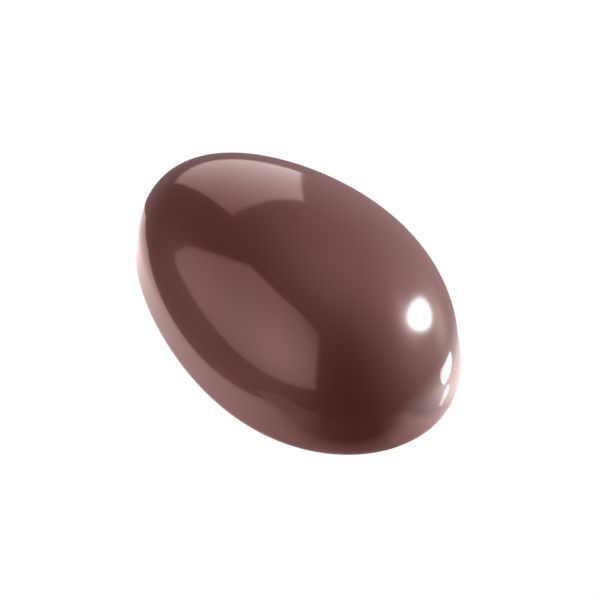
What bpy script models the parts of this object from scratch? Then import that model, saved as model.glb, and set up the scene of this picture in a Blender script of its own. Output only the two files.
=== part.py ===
"""Half egg of solid moulded chocolate, resting on its flat underside.

Metres. +X runs along the egg towards its blunt end, +Z is up, and the origin is at the
centre of the flat underside.

The dome is cut from a parent egg, lying on its side, by a level plane a little above the
egg's middle. Below the cut stands the low wall that a mould needs for a clean release: it
follows the cut's outline and leans outward on its way down. The egg's own surface meets the
wall at the wall's slope, so the two run on smoothly.
"""

import math

import bmesh
import bpy
from mathutils import Vector

# Parent egg, lying on its side.
EGG_LENGTH = 0.0370
EGG_WIDTH = 0.0235
EGG_HEIGHT = 0.0267

# How the egg swells and narrows along its length: lopsided, then full in the middle of each
# half, then drawn in towards the blunt tip.
TAPER = 0.172
FULLNESS = 0.025
TIP_DRAW = -0.062

# The cut through the egg, and the wall below it.
CUT_ABOVE_MIDDLE = 0.0015
WALL_HEIGHT = 0.0037
WALL_SLOPE = 0.10
EDGE_ROUNDING = 0.0003

# Fineness of the mesh.
SIDES = 80
RINGS_TO_TOP = 20

CHOCOLATE_COLOUR = (0.090, 0.030, 0.026)
CHOCOLATE_ROUGHNESS = 0.16

HALF_LENGTH = EGG_LENGTH / 2
HALF_WIDTH = EGG_WIDTH / 2
HALF_HEIGHT = EGG_HEIGHT / 2
QUARTER_TURN = math.pi / 2


def swell(along):
    """Return the egg's girth at a station between -1 (narrow tip) and +1 (blunt tip)."""
    return 1 + TAPER * along + FULLNESS * along**2 + TIP_DRAW * along**3


def egg_point(azimuth, latitude):
    """Return the parent egg's surface point that a unit sphere's point is mapped to."""
    along = math.cos(latitude) * math.cos(azimuth)
    across = math.cos(latitude) * math.sin(azimuth)
    up = math.sin(latitude)
    girth = swell(along)
    return Vector((HALF_LENGTH * along, HALF_WIDTH * girth * across, HALF_HEIGHT * girth * up))


def cut_latitude(azimuth):
    """Return the latitude at which the egg's surface passes through the level cut."""
    latitude = 0.0
    for _ in range(8):
        girth = swell(math.cos(latitude) * math.cos(azimuth))
        latitude = math.asin(CUT_ABOVE_MIDDLE / (HALF_HEIGHT * girth))
    return latitude


def dome_point(direction):
    """Return the dome's point for a vertex of the unit hemisphere, its equator on the cut."""
    azimuth = math.atan2(direction.y, direction.x)
    climb = math.asin(max(-1.0, min(1.0, direction.z))) / QUARTER_TURN
    start = cut_latitude(azimuth)
    point = egg_point(azimuth, start + (QUARTER_TURN - start) * climb)
    point.z += WALL_HEIGHT - CUT_ABOVE_MIDDLE
    return point


def shape_dome(bm):
    """Turn a unit sphere's upper half into the dome, and return the edges of its open rim."""
    bmesh.ops.create_uvsphere(bm, u_segments=SIDES, v_segments=2 * RINGS_TO_TOP, radius=1.0)
    bmesh.ops.bisect_plane(
        bm,
        geom=bm.verts[:] + bm.edges[:] + bm.faces[:],
        dist=1e-5,
        plane_co=(0, 0, 0),
        plane_no=(0, 0, 1),
        clear_inner=True,
    )
    for vertex in bm.verts:
        vertex.co = dome_point(vertex.co)
    return [edge for edge in bm.edges if edge.is_boundary]


def add_wall(bm, rim):
    """Carry the rim down to the ground, leaning outward, and return the lower edges."""
    flare = 1 + WALL_SLOPE * WALL_HEIGHT / HALF_WIDTH
    wall = bmesh.ops.extrude_edge_only(bm, edges=rim)["geom"]
    for vertex in wall:
        if isinstance(vertex, bmesh.types.BMVert):
            vertex.co = Vector((vertex.co.x * flare, vertex.co.y * flare, 0.0))
    return [edge for edge in bm.edges if edge.is_boundary]


def centre_footprint(bm):
    """Move the shape along X until its footprint is centred on the origin."""
    reach = [vertex.co.x for vertex in bm.verts]
    shift = -(max(reach) + min(reach)) / 2
    bmesh.ops.translate(bm, verts=bm.verts[:], vec=(shift, 0, 0))


def half_egg_mesh():
    """Return the closed mesh of the half egg, its lower edge still sharp."""
    bm = bmesh.new()
    rim = shape_dome(bm)
    lower_edges = add_wall(bm, rim)
    bmesh.ops.edgeloop_fill(bm, edges=lower_edges)
    centre_footprint(bm)
    bmesh.ops.recalc_face_normals(bm, faces=bm.faces[:])
    mesh = bpy.data.meshes.new("half_egg")
    bm.to_mesh(mesh)
    bm.free()
    return mesh


def round_lower_edge(egg):
    """Soften the edge between the wall and the flat underside."""
    bevel = egg.modifiers.new("lower_edge", "BEVEL")
    bevel.width = EDGE_ROUNDING
    bevel.segments = 3
    bevel.limit_method = "ANGLE"
    bevel.angle_limit = math.radians(45)


def chocolate():
    """Return the glossy brown of well tempered chocolate."""
    material = bpy.data.materials.new("chocolate")
    material.use_nodes = True
    shader = material.node_tree.nodes["Principled BSDF"]
    shader.inputs["Base Color"].default_value = (*CHOCOLATE_COLOUR, 1.0)
    shader.inputs["Roughness"].default_value = CHOCOLATE_ROUGHNESS
    shader.inputs["Metallic"].default_value = 0.0
    return material


def build():
    """Clear the scene and model the half egg."""
    for leftover in list(bpy.data.objects):
        bpy.data.objects.remove(leftover, do_unlink=True)
    parts = bpy.data.collections.new("chocolate_egg")
    bpy.context.scene.collection.children.link(parts)

    mesh = half_egg_mesh()
    mesh.materials.append(chocolate())
    mesh.shade_smooth()
    mesh.set_sharp_from_angle(angle=math.radians(45))
    egg = bpy.data.objects.new("half_egg", mesh)
    parts.objects.link(egg)
    round_lower_edge(egg)


build()
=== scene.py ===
"""Looks and studio of the half egg of solid moulded chocolate.

The egg is modelled here again, from the same sizes and formulas as its CAD node but much finer,
and replaces it. Everything is in metres, in the frame of the CAD: +X runs along the egg towards
its blunt end, +Z is up, and the egg rests on the floor at z = 0.

Tempered chocolate is nearly a dark mirror, so most of its look is what it reflects. The lights
are glowing cards that the camera doesn't see: two softboxes and a lamp round the egg, and the
painted light of the lit white stand on the table under it. A soft glow from all sides fills in the
rest.

Most numbers of the lights weren't chosen by hand. Separate programs worked them out from the
reflections in the photograph: the first eight glows of SKY_GLOWS and the softboxes' outlines
and radiances by least squares, and the lamp's oval from the spread of its bright spot. The
outlines of the softboxes and of the two glints also follow places in the photograph, traced
through the egg's mirror by a program. The camera and the egg's proportions were fitted to the
outline by least squares. All were rounded afterwards, and some were then changed.
"""

import math

import bmesh
import bpy
from mathutils import Matrix, Vector


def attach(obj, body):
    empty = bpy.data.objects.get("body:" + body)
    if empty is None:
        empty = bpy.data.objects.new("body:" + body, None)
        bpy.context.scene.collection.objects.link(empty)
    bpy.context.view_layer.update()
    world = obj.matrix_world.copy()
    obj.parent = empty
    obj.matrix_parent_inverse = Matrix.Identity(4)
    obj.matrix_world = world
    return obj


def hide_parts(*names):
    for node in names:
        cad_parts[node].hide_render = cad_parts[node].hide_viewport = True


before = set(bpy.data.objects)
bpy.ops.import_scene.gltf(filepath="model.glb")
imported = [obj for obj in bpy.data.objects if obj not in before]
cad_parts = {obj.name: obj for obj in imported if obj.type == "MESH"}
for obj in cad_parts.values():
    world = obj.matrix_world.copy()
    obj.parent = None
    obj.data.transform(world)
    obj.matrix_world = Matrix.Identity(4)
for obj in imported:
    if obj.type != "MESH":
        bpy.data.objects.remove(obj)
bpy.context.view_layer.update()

# Sizes of the egg, as in its CAD part.
EGG_LENGTH = 0.0370
EGG_WIDTH = 0.0235
EGG_HEIGHT = 0.0267
TAPER = 0.172
FULLNESS = 0.025
TIP_DRAW = -0.062
CUT_ABOVE_MIDDLE = 0.0015
WALL_HEIGHT = 0.0037
WALL_SLOPE = 0.10
EDGE_ROUNDING = 0.0003

HALF_LENGTH = EGG_LENGTH / 2
HALF_WIDTH = EGG_WIDTH / 2
HALF_HEIGHT = EGG_HEIGHT / 2
QUARTER_TURN = math.pi / 2

# Fineness of the mesh.
SIDES = 256
RINGS_TO_TOP = 72
WALL_RINGS = 10
EDGE_STEPS = 5
UNDERSIDE_RINGS = 24

# Islands of the UV map, and the height under which a point belongs to the flat underside.
DOME_ISLAND = Vector((0.43, 0.43))
DOME_ISLAND_RADIUS = 0.42
SOLE_ISLAND = Vector((0.83, 0.83))
SOLE_ISLAND_RADIUS = 0.14
FLAT = 0.000001

# Millimetres in metres.
MM = 0.001

# Chocolate: its colours in linear light, the two of a pair being the ends of a blend. Its
# reflections are pinkish in the photograph, and so they are tinted.
CLOUD_COLOURS = ((0.032, 0.0096, 0.0081), (0.034, 0.0102, 0.0086))
SCRAPED_COLOURS = ((0.040, 0.0130, 0.0105), (0.046, 0.0160, 0.0130))
RUBBED_COLOUR = (0.042, 0.0140, 0.0115)
RUBBED_SHARE = 0.5
REFLECTION_TINT = (1.0, 0.75, 0.73, 1.0)
CHOCOLATE_IOR = 1.5

# Roughness where the mould touched it, what rubbing adds, and what scraping adds.
MOULDED_ROUGHNESS = (0.092, 0.108)
RUBBING_ADDS = 0.05
SCRAPING_ADDS = (0.22, 0.34)

# Stretch of a noise's values that is spread over a whole blend: a wide one and a narrow one.
WIDE_STRETCH = (0.3, 0.7)
NARROW_STRETCH = (0.35, 0.65)

# Sizes of the chocolate's unevenness, and the depths of its relief.
CLOUD_SIZE = 0.006
SMEAR_SIZE = 0.003
RUB_SIZE = 0.0012
DRAG_WIDTH = 0.0005
DRAG_STRETCH = 0.12
WAVE_SIZE = 0.003
WAVE_DEPTH = 0.000006
GRAIN_SIZE = 0.0003
GRAIN_DEPTH = 0.0000004
DRAG_DEPTH = 0.000030

# Heights between which the underside's finish and the rubbed lower edge fade out.
UNDERSIDE_FADE = (0.00002, 0.00010)
RUBBED_FADE = (0.0001, 0.0009)

# Camera, looking down on the egg's side. Its azimuth is measured from +X towards +Y.
CAMERA_DISTANCE = 0.25
CAMERA_AZIMUTH = math.radians(-41.335)
CAMERA_ELEVATION = math.radians(49.856)
CAMERA_LENS = 157.2
CAMERA_SENSOR = 36.0
AIM_RIGHT = 0.00097
AIM_UP = 0.00152

# Floor and backdrop: a painted pool of light on the floor, full white round the egg, and pale grey
# further out.
FLOOR_SIZE = 6.0
LIT_RADIUS = 0.055
FADED_RADIUS = 0.25
BACKDROP_GREY = 0.68

# The softboxes and the lamp stand this far from the egg.
STUDIO_RADIUS = 2.0

# Lamp to the camera's right: an oval whose direction is an azimuth and an elevation in degrees,
# and whose axes point right, away and up as seen from the camera. Its sizes are shares of the
# studio's radius. Its soft edge starts a little inside the oval, and its card reaches beyond it.
LAMP_DIRECTION = (81.3, 9.1)
LAMP_LONG_AXIS = (0.039, -0.768, 0.639)
LAMP_SHORT_AXIS = (-0.232, 0.615, 0.753)
LAMP_HALF_LENGTH = 0.305
LAMP_HALF_WIDTH = 0.144
LAMP_RADIANCE = Vector((20.4, 28.0, 27.6))
LAMP_EDGE_START = 0.9
LAMP_EDGE_SOFTNESS = 0.18
LAMP_CARD_REACH = 2.4

# Painted light of a lit white stand on the table under the egg, in plan: a glowing card that only
# the egg's gloss mirrors. This and all else that lies on the table is in millimetres to the right
# and away, as seen from the camera, from the egg's middle. The stand's left edge runs from its
# back to the bend, and from there slants to the right.
STAND_LEFT = -20.7
STAND_RIGHT = 15.6
STAND_FRONT = -19.2
STAND_BACK = 15.3
STAND_BEND = 9.0
STAND_SLANT = 0.474
STAND_SOFT_END = 1.2
STAND_SOFT_FRONT = 2.2
STAND_LEFT_RIM_GLOW = (1.15, 0.86, 0.84)
STAND_LEFT_FRONT_GLOW = (1.15, 0.88, 0.88)
STAND_LEFT_BACK_GLOW = (1.38, 1.15, 1.13)
STAND_MIDDLE_GLOW = (1.15, 0.80, 0.80)
STAND_RIGHT_GLOW = (1.65, 1.00, 1.00)

# The stand's painted light is brighter at its front round this place, within this reach, by up to
# this share.
BRIGHT_FRONT_RIGHT = 4.5
BRIGHT_FRONT_REACH = 6.0
BRIGHT_FRONT_ADDS = 0.5

# Painted light of a dimmer lit strip in front of the stand.
APRON_GLOW = Vector((0.45, 0.31, 0.31))

# The lamp's spill on the table: the place where it is brightest, and how fast it dies away.
SPILL_RIGHT = 16.8
SPILL_AWAY = -10.5
SPILL_GLOW = Vector((3.65, 3.35, 3.30))
SPILL_FALLOFF = 4.2

# Heights in metres that keep the cards on the table apart where they overlap.
ON_TABLE = 0.0
ON_STAND = 0.00001
ON_SPILL = 0.00002

# Soft glows of the surroundings: azimuth and elevation in degrees, sharpness, and radiance in
# the middle. The sharper a glow, the smaller it is. The first eight are a program's output,
# rounded, with the first one's radiance and the second one's direction changed. The last
# two were set one by one.
SKY_GLOWS = {
    "ahead": (7.3, 28.1, 3.2, (1.30, 0.84, 0.87)),
    "overhead": (0, 90, 4.3, (1.66, 1.17, 1.24)),
    "right": (87.7, 13.8, 3.4, (3.66, 2.75, 2.85)),
    "beside the lamp": (93.2, 19.4, 48, (4.96, 5.39, 5.50)),
    "low on the right": (65.8, -13.7, 44, (1.78, 1.64, 1.54)),
    "left": (-82.5, -4.7, 16, (0.94, 0.56, 0.57)),
    "behind on the left": (-129.7, 7.2, 7.4, (1.87, 1.32, 1.33)),
    "below on the left": (-117.4, -57.5, 5.8, (1.53, 0.83, 0.85)),
    "below, ahead on the left": (-40.0, -28.0, 20, (0.20, 0.12, 0.12)),
    "below, ahead on the right": (42.0, -36.0, 14, (0.32, 0.20, 0.19)),
}


def swell(along):
    """Return the egg's girth at a station between -1 (narrow tip) and +1 (blunt tip)."""
    return 1 + TAPER * along + FULLNESS * along**2 + TIP_DRAW * along**3


def egg_point(azimuth, latitude):
    """Return the parent egg's surface point that a unit sphere's point is mapped to."""
    along = math.cos(latitude) * math.cos(azimuth)
    across = math.cos(latitude) * math.sin(azimuth)
    up = math.sin(latitude)
    girth = swell(along)
    return Vector((HALF_LENGTH * along, HALF_WIDTH * girth * across, HALF_HEIGHT * girth * up))


def cut_latitude(azimuth):
    """Return the latitude at which the egg's surface passes through the level cut."""
    latitude = 0.0
    for _ in range(8):
        girth = swell(math.cos(latitude) * math.cos(azimuth))
        latitude = math.asin(CUT_ABOVE_MIDDLE / (HALF_HEIGHT * girth))
    return latitude


def dome_point(azimuth, climb):
    """Return the dome's point at an azimuth, with climb from 0 at the cut to 1 at the top."""
    start = cut_latitude(azimuth)
    point = egg_point(azimuth, start + (QUARTER_TURN - start) * climb)
    point.z += WALL_HEIGHT - CUT_ABOVE_MIDDLE
    return point


def wall_point(azimuth, height):
    """Return the wall's point at a height above the floor; the wall leans outward downward."""
    rim = dome_point(azimuth, 0.0)
    flare = 1 + WALL_SLOPE * (WALL_HEIGHT - height) / HALF_WIDTH
    return Vector((rim.x * flare, rim.y * flare, height))


def edge_points(azimuth):
    """Return the points of the rounded lower edge, from the wall to the underside."""
    foot = wall_point(azimuth, EDGE_ROUNDING)
    outward = Vector((foot.x, foot.y, 0)).normalized()
    points = []
    for step in range(EDGE_STEPS + 1):
        turn = QUARTER_TURN * step / EDGE_STEPS
        inward = EDGE_ROUNDING * (1 - math.cos(turn))
        down = EDGE_ROUNDING * math.sin(turn)
        points.append(foot - outward * inward - Vector((0, 0, down)))
    return points


def ring_profile(azimuth):
    """Return one slice of the surface, from just below the top to the rim of the underside."""
    profile = []
    for ring in range(RINGS_TO_TOP - 1, -1, -1):
        profile.append(dome_point(azimuth, ring / RINGS_TO_TOP))
    for ring in range(1, WALL_RINGS):
        height = WALL_HEIGHT + (EDGE_ROUNDING - WALL_HEIGHT) * ring / WALL_RINGS
        profile.append(wall_point(azimuth, height))
    return profile + edge_points(azimuth)


def from_top(column):
    """Return how far each point of a slice is from the top along the surface, as a share of 1."""
    reach = []
    travelled = 0.0
    previous = dome_point(0.0, 1.0)
    for point in column:
        travelled += (point - previous).length
        reach.append(travelled)
        previous = point
    return [length / travelled for length in reach]


def lay_out(bm, shell, top):
    """Add the UV map: one round island for dome and wall, and a small one for the underside.

    shell lists the rings of dome, wall and lower edge, from the top down.
    """
    place = {top: DOME_ISLAND}
    for side in range(SIDES):
        turn = math.tau * side / SIDES
        radial = Vector((math.cos(turn), math.sin(turn))) * DOME_ISLAND_RADIUS
        shares = from_top([ring[side].co for ring in shell])
        for ring, share in zip(shell, shares):
            place[ring[side]] = DOME_ISLAND + radial * share
    sole_scale = SOLE_ISLAND_RADIUS / HALF_LENGTH
    layer = bm.loops.layers.uv.new("OFBake")
    for face in bm.faces:
        underside = all(vertex.co.z < FLAT for vertex in face.verts)
        for corner in face.loops:
            if underside:
                corner[layer].uv = SOLE_ISLAND + corner.vert.co.xy * sole_scale
            else:
                corner[layer].uv = place[corner.vert]


def skin(bm, rings, top, bottom):
    """Join the rings with faces, and close the surface at its top and bottom points."""
    for upper, lower in zip(rings, rings[1:]):
        for side in range(SIDES):
            after = (side + 1) % SIDES
            bm.faces.new((upper[side], lower[side], lower[after], upper[after]))
    for side in range(SIDES):
        after = (side + 1) % SIDES
        bm.faces.new((top, rings[0][side], rings[0][after]))
        bm.faces.new((bottom, rings[-1][after], rings[-1][side]))


def egg_mesh():
    """Return the closed mesh of the half egg: dome, wall, rounded lower edge and underside."""
    bm = bmesh.new()
    slices = [ring_profile(math.tau * side / SIDES) for side in range(SIDES)]
    shell = []
    for ring in range(len(slices[0])):
        shell.append([bm.verts.new(column[ring]) for column in slices])
    underside = []
    for ring in range(1, UNDERSIDE_RINGS):
        shrink = 1 - ring / UNDERSIDE_RINGS
        underside.append([bm.verts.new(column[-1] * shrink) for column in slices])
    top = bm.verts.new(dome_point(0.0, 1.0))
    bottom = bm.verts.new((0, 0, 0))
    skin(bm, shell + underside, top, bottom)
    lay_out(bm, shell, top)
    reach = [vertex.co.x for vertex in bm.verts]
    centring = -(max(reach) + min(reach)) / 2
    bmesh.ops.translate(bm, verts=bm.verts[:], vec=(centring, 0, 0))
    bmesh.ops.recalc_face_normals(bm, faces=bm.faces[:])
    mesh = bpy.data.meshes.new("moulded_half_egg")
    bm.to_mesh(mesh)
    bm.free()
    mesh.shade_smooth()
    return mesh


class Nodes:
    """A small helper that adds and links the nodes of one node tree."""

    def __init__(self, owner):
        owner.use_nodes = True
        self.tree = owner.node_tree
        self.tree.nodes.clear()

    def add(self, kind, **settings):
        """Add a node, with its properties set from the keyword arguments."""
        node = self.tree.nodes.new(kind)
        for name, value in settings.items():
            setattr(node, name, value)
        return node

    def feed(self, socket, value):
        """Link an output into an input, or set the input to a plain value."""
        if isinstance(value, bpy.types.NodeSocket):
            self.tree.links.new(value, socket)
        else:
            socket.default_value = value

    def math(self, operation, first, second=0.0):
        """Return the result of a two-input maths node."""
        node = self.add("ShaderNodeMath", operation=operation)
        self.feed(node.inputs[0], first)
        self.feed(node.inputs[1], second)
        return node.outputs[0]

    def vector(self, operation, first, second):
        """Return the vector result of a two-input vector node."""
        node = self.add("ShaderNodeVectorMath", operation=operation)
        self.feed(node.inputs[0], first)
        self.feed(node.inputs[1], second)
        return node.outputs[0]

    def ramp(self, value, low, high, to_low=0.0, to_high=1.0):
        """Return a smooth step of a value, from to_low at low to to_high at high."""
        node = self.add("ShaderNodeMapRange", interpolation_type="SMOOTHSTEP")
        self.feed(node.inputs["Value"], value)
        node.inputs["From Min"].default_value = low
        node.inputs["From Max"].default_value = high
        node.inputs["To Min"].default_value = to_low
        node.inputs["To Max"].default_value = to_high
        return node.outputs["Result"]

    def blend(self, amount, first, second):
        """Blend two colours."""
        node = self.add("ShaderNodeMix", data_type="RGBA")
        self.feed(node.inputs["Factor"], amount)
        self.feed(node.inputs["A"], (*first, 1.0) if isinstance(first, tuple) else first)
        self.feed(node.inputs["B"], (*second, 1.0) if isinstance(second, tuple) else second)
        return node.outputs["Result"]

    def noise(self, place, size, detail=2.0):
        """Return noise between 0 and 1 whose lumps are about the given size, in metres."""
        node = self.add("ShaderNodeTexNoise")
        self.feed(node.inputs["Vector"], place)
        node.inputs["Scale"].default_value = 1 / size
        node.inputs["Detail"].default_value = detail
        return node.outputs["Fac"]


class ChocolatePlaces:
    """Where the chocolate is what: masks between 0 and 1 that its finishes share."""

    def __init__(self, nodes):
        self.place = nodes.add("ShaderNodeTexCoord").outputs["Object"]
        parts = nodes.add("ShaderNodeSeparateXYZ")
        nodes.feed(parts.inputs[0], self.place)
        height = parts.outputs["Z"]
        self.underside = nodes.ramp(height, *UNDERSIDE_FADE, 1.0, 0.0)
        lower_edge = nodes.ramp(height, *RUBBED_FADE, 1.0, 0.0)
        patches = nodes.ramp(nodes.noise(self.place, RUB_SIZE), *NARROW_STRETCH)
        self.rubbed = nodes.math("MULTIPLY", lower_edge, patches)
        stretched = nodes.vector("MULTIPLY", self.place, (DRAG_STRETCH, 1.0, 1.0))
        self.drag = nodes.noise(stretched, DRAG_WIDTH, detail=4.0)


def chocolate_colour(nodes, where):
    """Return the chocolate's colour: faintly cloudy, paler where it is rubbed or scraped."""
    cloud = nodes.ramp(nodes.noise(where.place, CLOUD_SIZE, detail=4.0), *WIDE_STRETCH)
    colour = nodes.blend(cloud, *CLOUD_COLOURS)
    rubbed = nodes.math("MULTIPLY", where.rubbed, RUBBED_SHARE)
    colour = nodes.blend(rubbed, colour, RUBBED_COLOUR)
    scraped = nodes.blend(nodes.ramp(where.drag, *NARROW_STRETCH), *SCRAPED_COLOURS)
    return nodes.blend(where.underside, colour, scraped)


def chocolate_roughness(nodes, where):
    """Return the chocolate's roughness: the mould's gloss, and satin where it was scraped."""
    smear = nodes.noise(where.place, SMEAR_SIZE, detail=3.0)
    moulded = nodes.ramp(smear, *WIDE_STRETCH, *MOULDED_ROUGHNESS)
    rubbed = nodes.math("MULTIPLY", where.rubbed, RUBBING_ADDS)
    marks = nodes.ramp(where.drag, *WIDE_STRETCH, *SCRAPING_ADDS)
    scraped = nodes.math("MULTIPLY", where.underside, marks)
    return nodes.math("ADD", nodes.math("ADD", moulded, rubbed), scraped)


def chocolate_relief(nodes, where):
    """Return the chocolate's normal: slow waves, very fine grain, and the underside's marks."""
    waves = nodes.math("MULTIPLY", nodes.noise(where.place, WAVE_SIZE, detail=1.0), WAVE_DEPTH)
    grain = nodes.math("MULTIPLY", nodes.noise(where.place, GRAIN_SIZE), GRAIN_DEPTH)
    scraped = nodes.math("MULTIPLY", where.underside, where.drag)
    marks = nodes.math("MULTIPLY", scraped, DRAG_DEPTH)
    bump = nodes.add("ShaderNodeBump")
    bump.inputs["Distance"].default_value = 1.0
    height = nodes.math("ADD", nodes.math("ADD", waves, grain), marks)
    nodes.feed(bump.inputs["Height"], height)
    return bump.outputs["Normal"]


def chocolate():
    """Return tempered chocolate: a mould's gloss, with the faint unevenness of a real casting.

    The underside, which cooled in the open and was scraped level, is satin with drag marks, and
    the lower edge is a little rubbed.
    """
    material = bpy.data.materials.new("chocolate")
    nodes = Nodes(material)
    output = nodes.add("ShaderNodeOutputMaterial")
    shader = nodes.add("ShaderNodeBsdfPrincipled")
    where = ChocolatePlaces(nodes)
    nodes.feed(shader.inputs["Base Color"], chocolate_colour(nodes, where))
    nodes.feed(shader.inputs["Roughness"], chocolate_roughness(nodes, where))
    nodes.feed(shader.inputs["Normal"], chocolate_relief(nodes, where))
    shader.inputs["IOR"].default_value = CHOCOLATE_IOR
    shader.inputs["Specular Tint"].default_value = REFLECTION_TINT
    nodes.feed(output.inputs["Surface"], shader.outputs["BSDF"])
    return material


def studio_vector(right, away, up):
    """Turn a vector given as seen from the camera, in plan, into the egg's frame."""
    heading = CAMERA_AZIMUTH + math.pi
    ahead = Vector((math.cos(heading), math.sin(heading), 0.0))
    sideways = Vector((math.sin(heading), -math.cos(heading), 0.0))
    return sideways * right + ahead * away + Vector((0, 0, up))


def towards(azimuth, elevation):
    """Return a unit vector towards a place in the studio.

    The azimuth is in degrees clockwise from the camera's line of sight, seen from above, so 90
    is to the camera's right and 180 is behind the camera.
    """
    turn = math.radians(azimuth)
    lift = math.radians(elevation)
    level = math.cos(lift)
    return studio_vector(math.sin(turn) * level, math.cos(turn) * level, math.sin(lift))


def mix(first, second, amount):
    """Blend two colours."""
    return Vector(first).lerp(Vector(second), amount)


def fade(value, start, end):
    """Return 0 where a value is at start, 1 where it is at end, and in between a share."""
    return max(0.0, min(1.0, (value - start) / (end - start)))


def even(*radiance):
    """Return a glow that is the same all over a card."""
    return lambda u, v: Vector(radiance)


def glow_material(name, peak):
    """Return a material that shines with the mesh's own colours, of which 1 means the peak.

    It lets through what is behind it, so it adds to the glow of the studio.
    """
    material = bpy.data.materials.new(name)
    nodes = Nodes(material)
    output = nodes.add("ShaderNodeOutputMaterial")
    colours = nodes.add("ShaderNodeAttribute", attribute_name="glow")
    shine = nodes.add("ShaderNodeEmission")
    nodes.feed(shine.inputs["Color"], colours.outputs["Color"])
    nodes.feed(shine.inputs["Strength"], peak)
    both = nodes.add("ShaderNodeAddShader")
    nodes.feed(both.inputs[0], shine.outputs["Emission"])
    nodes.feed(both.inputs[1], nodes.add("ShaderNodeBsdfTransparent").outputs["BSDF"])
    nodes.feed(output.inputs["Surface"], both.outputs["Shader"])
    return material


def glowing_card(name, centre, across, along, glow, outline, cuts=16):
    """Add a flat card that shines on the egg and that the camera doesn't see.

    The outline's corners are (u, v) pairs: a point of the card lies at centre + u * across +
    v * along, and glow(u, v) is its radiance. The more cuts, the finer the glow is resolved.
    """
    bm = bmesh.new()
    bm.faces.new([bm.verts.new((u, v, 0)) for u, v in outline])
    bmesh.ops.triangulate(bm, faces=bm.faces[:])
    bmesh.ops.subdivide_edges(bm, edges=bm.edges[:], cuts=cuts, use_grid_fill=True)
    radiances = [glow(vertex.co.x, vertex.co.y) for vertex in bm.verts]
    for vertex in bm.verts:
        vertex.co = centre + across * vertex.co.x + along * vertex.co.y
    mesh = bpy.data.meshes.new(name)
    bm.to_mesh(mesh)
    bm.free()
    peak = max(max(radiance) for radiance in radiances)
    layer = mesh.attributes.new("glow", "FLOAT_COLOR", "POINT")
    for entry, radiance in zip(layer.data, radiances):
        entry.color = (*(radiance / peak), 1.0)
    mesh.materials.append(glow_material(name, peak))
    piece = bpy.data.objects.new(name, mesh)
    bpy.context.scene.collection.objects.link(piece)
    piece.visible_camera = False
    return piece


def facing_plane(rays):
    """Return the middle direction of some rays, and the two axes of the plane that faces it."""
    middle = sum(rays, Vector()).normalized()
    sideways = middle.cross(Vector((0, 0, 1))).normalized()
    upward = sideways.cross(middle)
    return middle, sideways, upward


def softbox(name, outline, bottom_left, bottom_right, top_right, top_left, centre):
    """Add a softbox whose corners lie in the given directions from the egg.

    Its radiance runs from corner to corner, as seen from the egg, and centre is added in the
    middle.
    """
    rays = [towards(*corner) for corner in outline]
    middle, sideways, upward = facing_plane(rays)
    across = [ray.dot(sideways) / ray.dot(middle) for ray in rays]
    along = [ray.dot(upward) / ray.dot(middle) for ray in rays]
    mean_u = (max(across) + min(across)) / 2
    mean_v = (max(along) + min(along)) / 2
    half_width = (max(across) - min(across)) / 2
    half_height = (max(along) - min(along)) / 2

    def glow(u, v):
        low_edge = mix(bottom_left, bottom_right, (u + 1) / 2)
        high_edge = mix(top_left, top_right, (u + 1) / 2)
        hump = (1 - u * u) * (1 - v * v)
        return mix(low_edge, high_edge, (v + 1) / 2) + Vector(centre) * hump

    corners = []
    for u, v in zip(across, along):
        corners.append(((u - mean_u) / half_width, (v - mean_v) / half_height))
    glowing_card(
        name,
        centre=(middle + sideways * mean_u + upward * mean_v) * STUDIO_RADIUS,
        across=sideways * half_width * STUDIO_RADIUS,
        along=upward * half_height * STUDIO_RADIUS,
        glow=glow,
        outline=corners,
    )


def softboxes():
    """Add the two softboxes. Their outlines are azimuths and elevations in degrees."""
    softbox(
        "softbox_left",
        [(-73.4, 12.4), (-84.0, 36.8), (-137.7, 45.9), (-159.8, 37.7), (-159.2, -7.6),
         (-71.9, -12.2), (-70.0, -8.1), (-70.0, 3.0)],
        bottom_left=(1.80, 1.18, 1.25),
        bottom_right=(1.04, 0.74, 0.76),
        top_right=(1.77, 1.02, 0.98),
        top_left=(0.34, 0.16, 0.16),
        centre=(1.18, 1.05, 1.11),
    )
    softbox(
        "softbox_far",
        [(-33.6, -7.1), (-39.9, 16.2), (-47.9, 31.7), (-25.7, 34.9), (2.7, 28.2), (4.7, 15.0),
         (6.0, 5.0), (6.9, -12.6)],
        bottom_left=(0.63, 0.10, 0.09),
        bottom_right=(2.12, 2.03, 1.97),
        top_right=(2.86, 2.58, 2.50),
        top_left=(1.57, 0.91, 0.97),
        centre=(0.53, 0.47, 0.43),
    )


def key_light():
    """Add the small bright lamp to the camera's right: an oval with a soft edge."""

    def glow(u, v):
        distance = math.hypot(u, v) * LAMP_CARD_REACH
        return LAMP_RADIANCE * min(1.0, math.exp((LAMP_EDGE_START - distance) / LAMP_EDGE_SOFTNESS))

    reach = LAMP_CARD_REACH * STUDIO_RADIUS
    glowing_card(
        "key_light",
        centre=towards(*LAMP_DIRECTION) * STUDIO_RADIUS,
        across=studio_vector(*LAMP_LONG_AXIS) * LAMP_HALF_LENGTH * reach,
        along=studio_vector(*LAMP_SHORT_AXIS) * LAMP_HALF_WIDTH * reach,
        glow=glow,
        outline=[(-1, -1), (1, -1), (1, 1), (-1, 1)],
        cuts=64,
    )


def table_card(name, outline, glow, lift, cuts=16):
    """Add a glowing area of painted light on the table, in millimetres, which only the egg's gloss
    mirrors.
    """
    piece = glowing_card(
        name,
        centre=Vector((0, 0, lift)),
        across=studio_vector(MM, 0, 0),
        along=studio_vector(0, MM, 0),
        glow=glow,
        outline=outline,
        cuts=cuts,
    )
    piece.visible_diffuse = False


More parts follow.
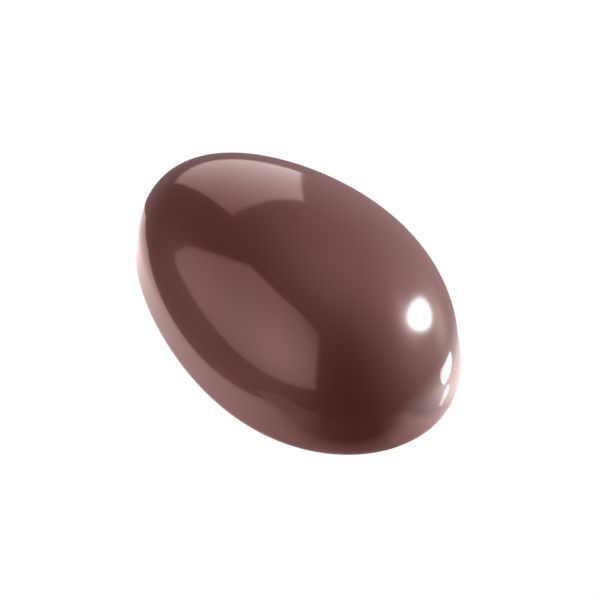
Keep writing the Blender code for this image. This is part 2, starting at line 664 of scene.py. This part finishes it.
def painted_stand_light(right, away):
    """Return the painted light that the lit white stand under the egg adds to the studio's glow at
    a place on it.

    Its painted light is brighter and whiter towards the back on its left part, and brighter and
    warmer towards the right on its right part. Its right end and front edge are soft.
    """
    # painted light: the lit stand's glow, brighter and whiter at the back, warmer to the right
    left_edge = max(STAND_LEFT, STAND_LEFT + (STAND_BEND - away) * STAND_SLANT)
    inner = mix(STAND_LEFT_FRONT_GLOW, STAND_LEFT_BACK_GLOW, fade(away, -16, -2))
    left_part = mix(STAND_LEFT_RIM_GLOW, inner, fade(right, left_edge, left_edge + 4))
    right_part = mix(STAND_MIDDLE_GLOW, STAND_RIGHT_GLOW, fade(right, 6, 11))
    glow = mix(left_part, right_part, fade(right, -4, 4))
    near_bright_front = fade(abs(right - BRIGHT_FRONT_RIGHT), BRIGHT_FRONT_REACH, 0)
    brighter = 1 + BRIGHT_FRONT_ADDS * near_bright_front * fade(away, -15, -17)
    soft_end = fade(right, STAND_RIGHT, STAND_RIGHT - STAND_SOFT_END)
    soft_front = fade(away, STAND_FRONT, STAND_FRONT + STAND_SOFT_FRONT)
    return glow * (brighter * soft_end * soft_front)


def painted_apron_light(right, away):
    """Return the painted light that the dimmer strip in front of the stand adds, dying away to the
    right.
    """
    return APRON_GLOW * fade(right, 1.5, -1.5)


def spill_glow(right, away):
    """Return what the lamp's spill adds at a place on the table."""
    distance = math.hypot(right - SPILL_RIGHT, away - SPILL_AWAY)
    return SPILL_GLOW * math.exp(-distance / SPILL_FALLOFF) * fade(distance, 13, 9)


def table_lights():
    """Add the painted light that the foot of the egg mirrors: the lit stand, the lamp's spill and
    two glints.
    """
    # painted light of a lit white stand: a glowing card that only the egg mirrors
    table_card(
        "stand",
        [(STAND_LEFT, STAND_BACK), (STAND_LEFT, STAND_BEND), (-7.4, STAND_FRONT),
         (STAND_RIGHT, STAND_FRONT), (STAND_RIGHT, -12.0), (-14.0, STAND_BACK)],
        painted_stand_light,
        lift=ON_TABLE,
        cuts=60,
    )
    # painted light of a dimmer lit strip in front of the stand, only mirrored by the egg
    table_card(
        "apron",
        [(-11.3, -18.0), (-10.8, -24.8), (0.5, -24.0), (1.5, -17.5), (-8.2, -17.5)],
        painted_apron_light,
        lift=ON_TABLE,
    )
    table_card(
        "lamp_spill",
        [(29, -20), (29, 2), (10, 2), (10, -24), (25, -24)],
        spill_glow,
        lift=ON_STAND,
        cuts=50,
    )
    table_card(
        "bright_spot",
        [(21.2, -4.9), (21.9, -5.5), (22.4, -6.8), (22.7, -8.0), (23.0, -9.3), (22.3, -10.1),
         (20.6, -10.5), (18.8, -10.5), (17.9, -10.1), (18.1, -8.5), (18.2, -7.8), (18.6, -7.1),
         (19.2, -6.4), (20.3, -5.5)],
        even(5.4, 6.2, 6.2),
        lift=ON_SPILL,
        cuts=1,
    )
    table_card(
        "bright_line",
        [(17.5, -9.5), (17.4, -10.3), (17.0, -11.1), (16.5, -11.8), (16.0, -12.3), (15.8, -12.0),
         (16.2, -11.3), (16.6, -10.5), (16.9, -9.8), (17.2, -9.3)],
        even(2.6, 3.0, 3.0),
        lift=ON_SPILL,
        cuts=1,
    )


def floor_material():
    """Return a plain glow, a painted pool of light: full white round the origin and pale grey
    further out.
    """
    material = bpy.data.materials.new("floor")
    nodes = Nodes(material)
    output = nodes.add("ShaderNodeOutputMaterial")
    place = nodes.add("ShaderNodeTexCoord").outputs["Object"]
    distance = nodes.add("ShaderNodeVectorMath", operation="LENGTH")
    nodes.feed(distance.inputs[0], place)
    shine = nodes.add("ShaderNodeEmission")
    shine.inputs["Color"].default_value = (1.0, 1.0, 1.0, 1.0)
    # painted pool of light: the floor glows full white round the egg and fades to pale grey
    painted_pool_of_light = nodes.ramp(distance.outputs["Value"], LIT_RADIUS, FADED_RADIUS, 1.0, BACKDROP_GREY)
    nodes.feed(shine.inputs["Strength"], painted_pool_of_light)
    nodes.feed(output.inputs["Surface"], shine.outputs["Emission"])
    return material


def floor():
    """Add a large pale floor, which the camera sees and the egg doesn't mirror. Its brightness is
    painted light.
    """
    half = FLOOR_SIZE / 2
    corners = [(-half, -half, 0), (half, -half, 0), (half, half, 0), (-half, half, 0)]
    mesh = bpy.data.meshes.new("floor")
    mesh.from_pydata(corners, [], [(0, 1, 2, 3)])
    mesh.materials.append(floor_material())
    piece = bpy.data.objects.new("floor", mesh)
    bpy.context.scene.collection.objects.link(piece)
    piece.visible_glossy = False
    piece.visible_diffuse = False
    piece.visible_shadow = False


def sky_glow(nodes, direction, azimuth, elevation, sharpness, radiance):
    """Return one soft glow of the surroundings, brightest at an azimuth and elevation."""
    dot = nodes.add("ShaderNodeVectorMath", operation="DOT_PRODUCT")
    nodes.feed(dot.inputs[0], direction)
    nodes.feed(dot.inputs[1], towards(azimuth, elevation))
    turned_away = nodes.math("SUBTRACT", dot.outputs["Value"], 1.0)
    weight = nodes.math("EXPONENT", nodes.math("MULTIPLY", turned_away, sharpness))
    scaled = nodes.add("ShaderNodeVectorMath", operation="SCALE")
    nodes.feed(scaled.inputs[0], radiance)
    nodes.feed(scaled.inputs["Scale"], weight)
    return scaled.outputs[0]


def sky():
    """Light the studio's surroundings softly, and show them to the camera as plain pale grey."""
    world = bpy.data.worlds.new("studio")
    nodes = Nodes(world)
    output = nodes.add("ShaderNodeOutputWorld")
    direction = nodes.add("ShaderNodeTexCoord").outputs["Generated"]
    total = (0.0, 0.0, 0.0)
    for settings in SKY_GLOWS.values():
        total = nodes.vector("ADD", total, sky_glow(nodes, direction, *settings))
    glow = nodes.add("ShaderNodeBackground")
    nodes.feed(glow.inputs["Color"], total)
    backdrop = nodes.add("ShaderNodeBackground")
    nodes.feed(backdrop.inputs["Color"], (BACKDROP_GREY, BACKDROP_GREY, BACKDROP_GREY, 1.0))
    choose = nodes.add("ShaderNodeMixShader")
    nodes.feed(choose.inputs[0], nodes.add("ShaderNodeLightPath").outputs["Is Camera Ray"])
    nodes.feed(choose.inputs[1], glow.outputs[0])
    nodes.feed(choose.inputs[2], backdrop.outputs[0])
    nodes.feed(output.inputs["Surface"], choose.outputs[0])
    bpy.context.scene.world = world


def camera():
    """Add the camera at the photograph's viewing angle, aimed a little off the egg's middle."""
    level = math.cos(CAMERA_ELEVATION)
    away = Vector((math.cos(CAMERA_AZIMUTH), math.sin(CAMERA_AZIMUTH), 0.0)) * level
    away.z = math.sin(CAMERA_ELEVATION)
    right = Vector((0, 0, 1)).cross(away).normalized()
    up = away.cross(right)
    target = right * AIM_RIGHT + up * AIM_UP
    place = away * CAMERA_DISTANCE
    data = bpy.data.cameras.new("camera")
    data.lens = CAMERA_LENS
    data.sensor_width = CAMERA_SENSOR
    data.clip_start = 0.01
    data.clip_end = 100.0
    piece = bpy.data.objects.new("camera", data)
    look = (target - place).normalized()
    turn = look.to_track_quat("-Z", "Y").to_matrix().to_4x4()
    piece.matrix_world = Matrix.Translation(place) @ turn
    bpy.context.scene.collection.objects.link(piece)
    bpy.context.scene.camera = piece


def half_egg():
    """Add the finely modelled half egg in place of its CAD node."""
    mesh = egg_mesh()
    mesh.materials.append(chocolate())
    egg = bpy.data.objects.new("moulded_half_egg", mesh)
    bpy.context.scene.collection.objects.link(egg)
    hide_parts("half_egg")
    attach(egg, "root")


def build():
    """Put the egg and its studio together."""
    half_egg()
    softboxes()
    table_lights()
    key_light()
    floor()
    sky()
    camera()
    bpy.context.scene.view_settings.view_transform = "Standard"


build()
